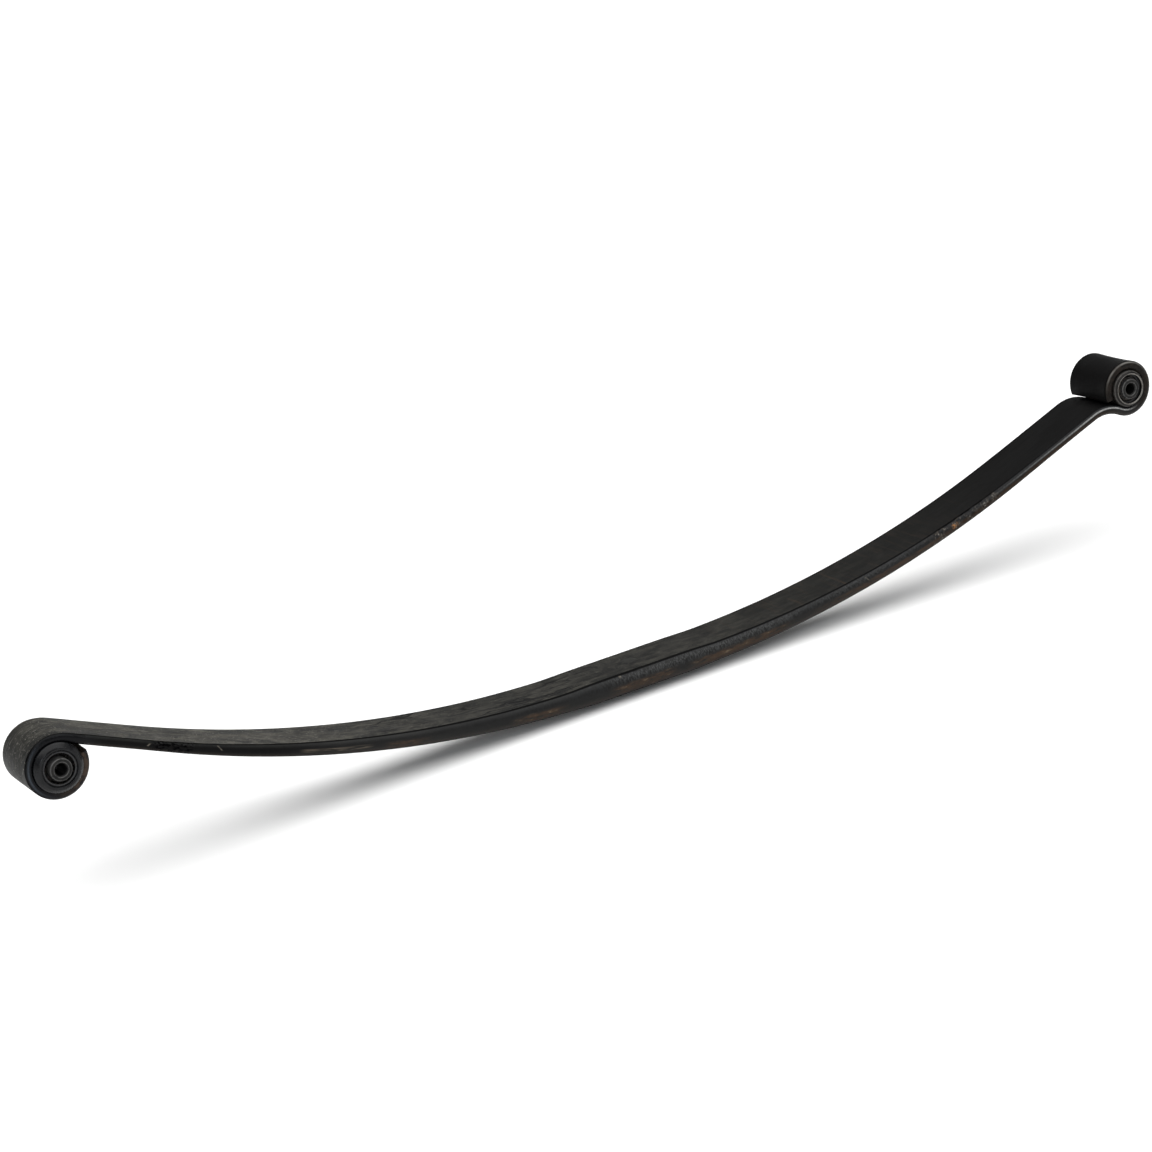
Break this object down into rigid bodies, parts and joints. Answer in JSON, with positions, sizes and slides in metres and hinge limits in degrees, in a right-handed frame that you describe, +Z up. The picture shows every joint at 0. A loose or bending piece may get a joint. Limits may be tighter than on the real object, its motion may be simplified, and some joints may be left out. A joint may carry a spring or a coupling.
{
  "type": "leaf spring",
  "caption": "Parabolic single-leaf vehicle spring with a downturned front eye, an upturned rear eye, bonded rubber bushes and a centre dowel.",
  "frame": {"origin": "on the lower axle seat face, at the axis of the locating dowel", "axes": "+X along the leaf to the rear (upturned) eye, +Y across the width, +Z up, away from the axle seat's lower face"},
  "size_m": [1.3679, 0.09, 0.1889],
  "materials": {
    "leaf_paint": "thin black paint over rolled scale",
    "dowel_steel": "painted over steel",
    "shell_steel": "black painted steel",
    "bush_rubber": "smooth moulded black rubber",
    "sleeve_steel": "turned steel, darkened"
  },
  "bodies": {
    "spring": {"leaf": "leaf_paint", "centre_dowel": "dowel_steel", "front_bush_outer_shell": "shell_steel", "front_bush_rubber": "bush_rubber", "rear_bush_outer_shell": "shell_steel", "rear_bush_rubber": "bush_rubber"},
    "front_sleeve": {"front_bush_inner_sleeve": "sleeve_steel"},
    "rear_sleeve": {"rear_bush_inner_sleeve": "sleeve_steel"}
  },
  "joints": [
    {"name": "front_sleeve_twist", "type": "hinge", "parent": "spring", "child": "front_sleeve", "pos_m": [-0.64197, 0, 0.126], "axis": [0, 1, 0], "range_deg": [-20, 20], "stiffness_Nm_per_rad": 60},
    {"name": "rear_sleeve_twist", "type": "hinge", "parent": "spring", "child": "rear_sleeve", "pos_m": [0.6615, 0, 0.14947], "axis": [0, 1, 0], "range_deg": [-30, 30], "stiffness_Nm_per_rad": 45}
  ]
}
